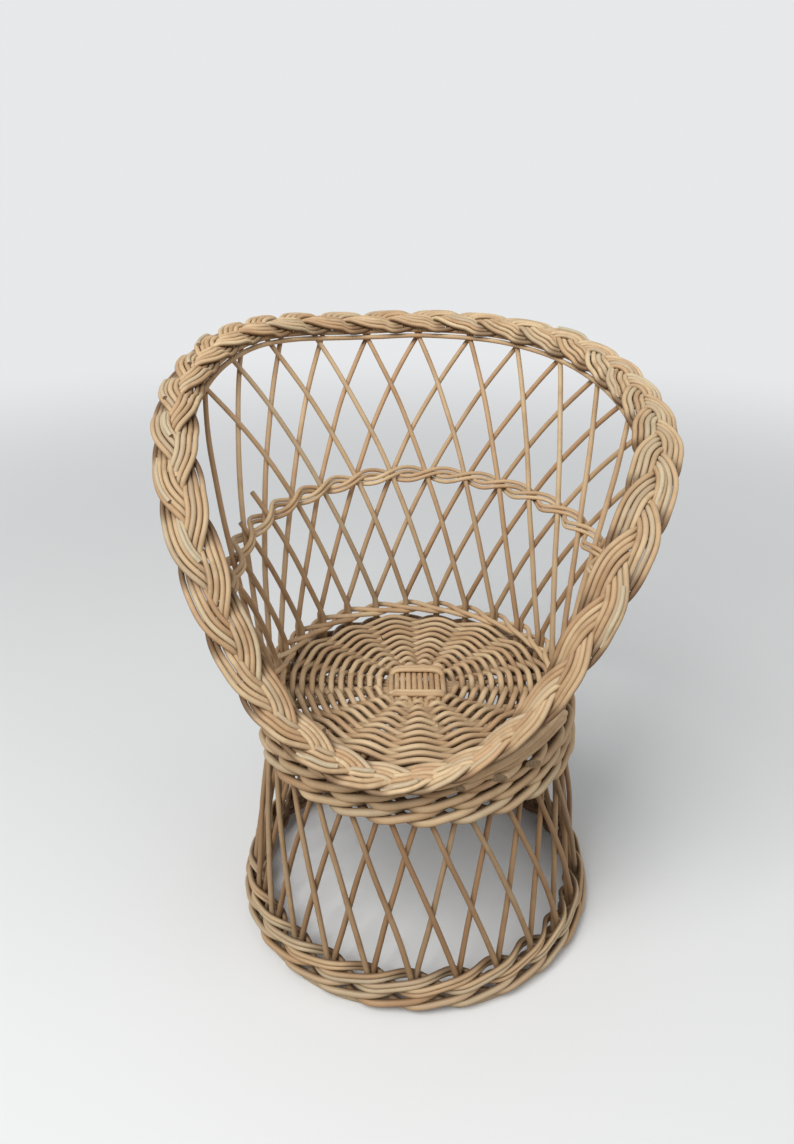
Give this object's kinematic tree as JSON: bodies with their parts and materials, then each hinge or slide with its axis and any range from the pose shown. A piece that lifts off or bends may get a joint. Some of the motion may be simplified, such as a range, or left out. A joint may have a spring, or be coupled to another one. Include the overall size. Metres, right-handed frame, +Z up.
{
  "type": "child wicker chair",
  "caption": "Child-size round tub chair woven of peeled willow: crossed-stake skirt, flat woven seat, flared lattice back and a thick plaited rim sweeping from the back into the arms.",
  "frame": {"origin": "on the floor, at the middle of the foot hoop", "axes": "+Z up, -Y towards the front of the seat, +Y towards the back, +X to the right in the front view"},
  "size_m": [0.4382, 0.416, 0.5308],
  "materials": {
    "stake_willow": "peeled willow, smooth and satin, aged to a brown tan",
    "band_willow": "peeled willow, satin, golden tan",
    "foot_willow": "peeled willow, satin, worn at the floor",
    "seat_willow": "peeled willow, rubbed smooth by use",
    "plait_willow": "peeled willow, satin, straw with greyed rods"
  },
  "bodies": {
    "root": {"back_stakes_inner": "stake_willow", "back_stakes_outer": "stake_willow", "foot_border_lower_1": "foot_willow", "foot_border_lower_2": "foot_willow", "foot_border_lower_3": "foot_willow", "foot_border_upper_1": "foot_willow", "foot_border_upper_2": "foot_willow", "foot_border_upper_3": "foot_willow", "foot_hoop": "foot_willow", "foot_wale_rod_1": "foot_willow", "foot_wale_rod_2": "foot_willow", "foot_wale_rod_3": "foot_willow", "mid_band_lower_1": "band_willow", "mid_band_lower_2": "band_willow", "mid_band_upper_1": "band_willow", "mid_band_upper_2": "band_willow", "plait_strand_1_rod_1": "plait_willow", "plait_strand_1_rod_2": "plait_willow", "plait_strand_1_rod_3": "plait_willow", "plait_strand_1_rod_4": "plait_willow", "plait_strand_2_rod_1": "plait_willow", "plait_strand_2_rod_2": "plait_willow", "plait_strand_2_rod_3": "plait_willow", "plait_strand_2_rod_4": "plait_willow", "plait_strand_3_rod_1": "plait_willow", "plait_strand_3_rod_2": "plait_willow", "plait_strand_3_rod_3": "plait_willow", "plait_strand_3_rod_4": "plait_willow", "rim_binding_rod_1": "plait_willow", "rim_binding_rod_2": "plait_willow", "seat_binder": "seat_willow", "seat_ring_rod_1": "band_willow", "seat_ring_rod_2": "band_willow", "seat_ring_rod_3": "band_willow", "seat_sticks_cross": "seat_willow", "seat_sticks_long": "seat_willow", "seat_wale_1_rod_1": "band_willow", "seat_wale_1_rod_2": "band_willow", "seat_wale_1_rod_3": "band_willow", "seat_wale_2_rod_1": "band_willow", "seat_wale_2_rod_2": "band_willow", "seat_wale_2_rod_3": "band_willow", "seat_wale_3_rod_1": "band_willow", "seat_wale_3_rod_2": "band_willow", "seat_wale_3_rod_3": "band_willow", "seat_weaver_1": "seat_willow", "seat_weaver_2": "seat_willow", "seat_weaver_3": "seat_willow", "seat_weaver_4": "seat_willow", "seat_weaver_5": "seat_willow", "seat_weaver_6": "seat_willow", "seat_weaver_7": "seat_willow", "seat_weaver_8": "seat_willow", "seat_weaver_9": "seat_willow", "skirt_stakes_inner": "stake_willow", "skirt_stakes_outer": "stake_willow"}
  },
  "joints": []
}
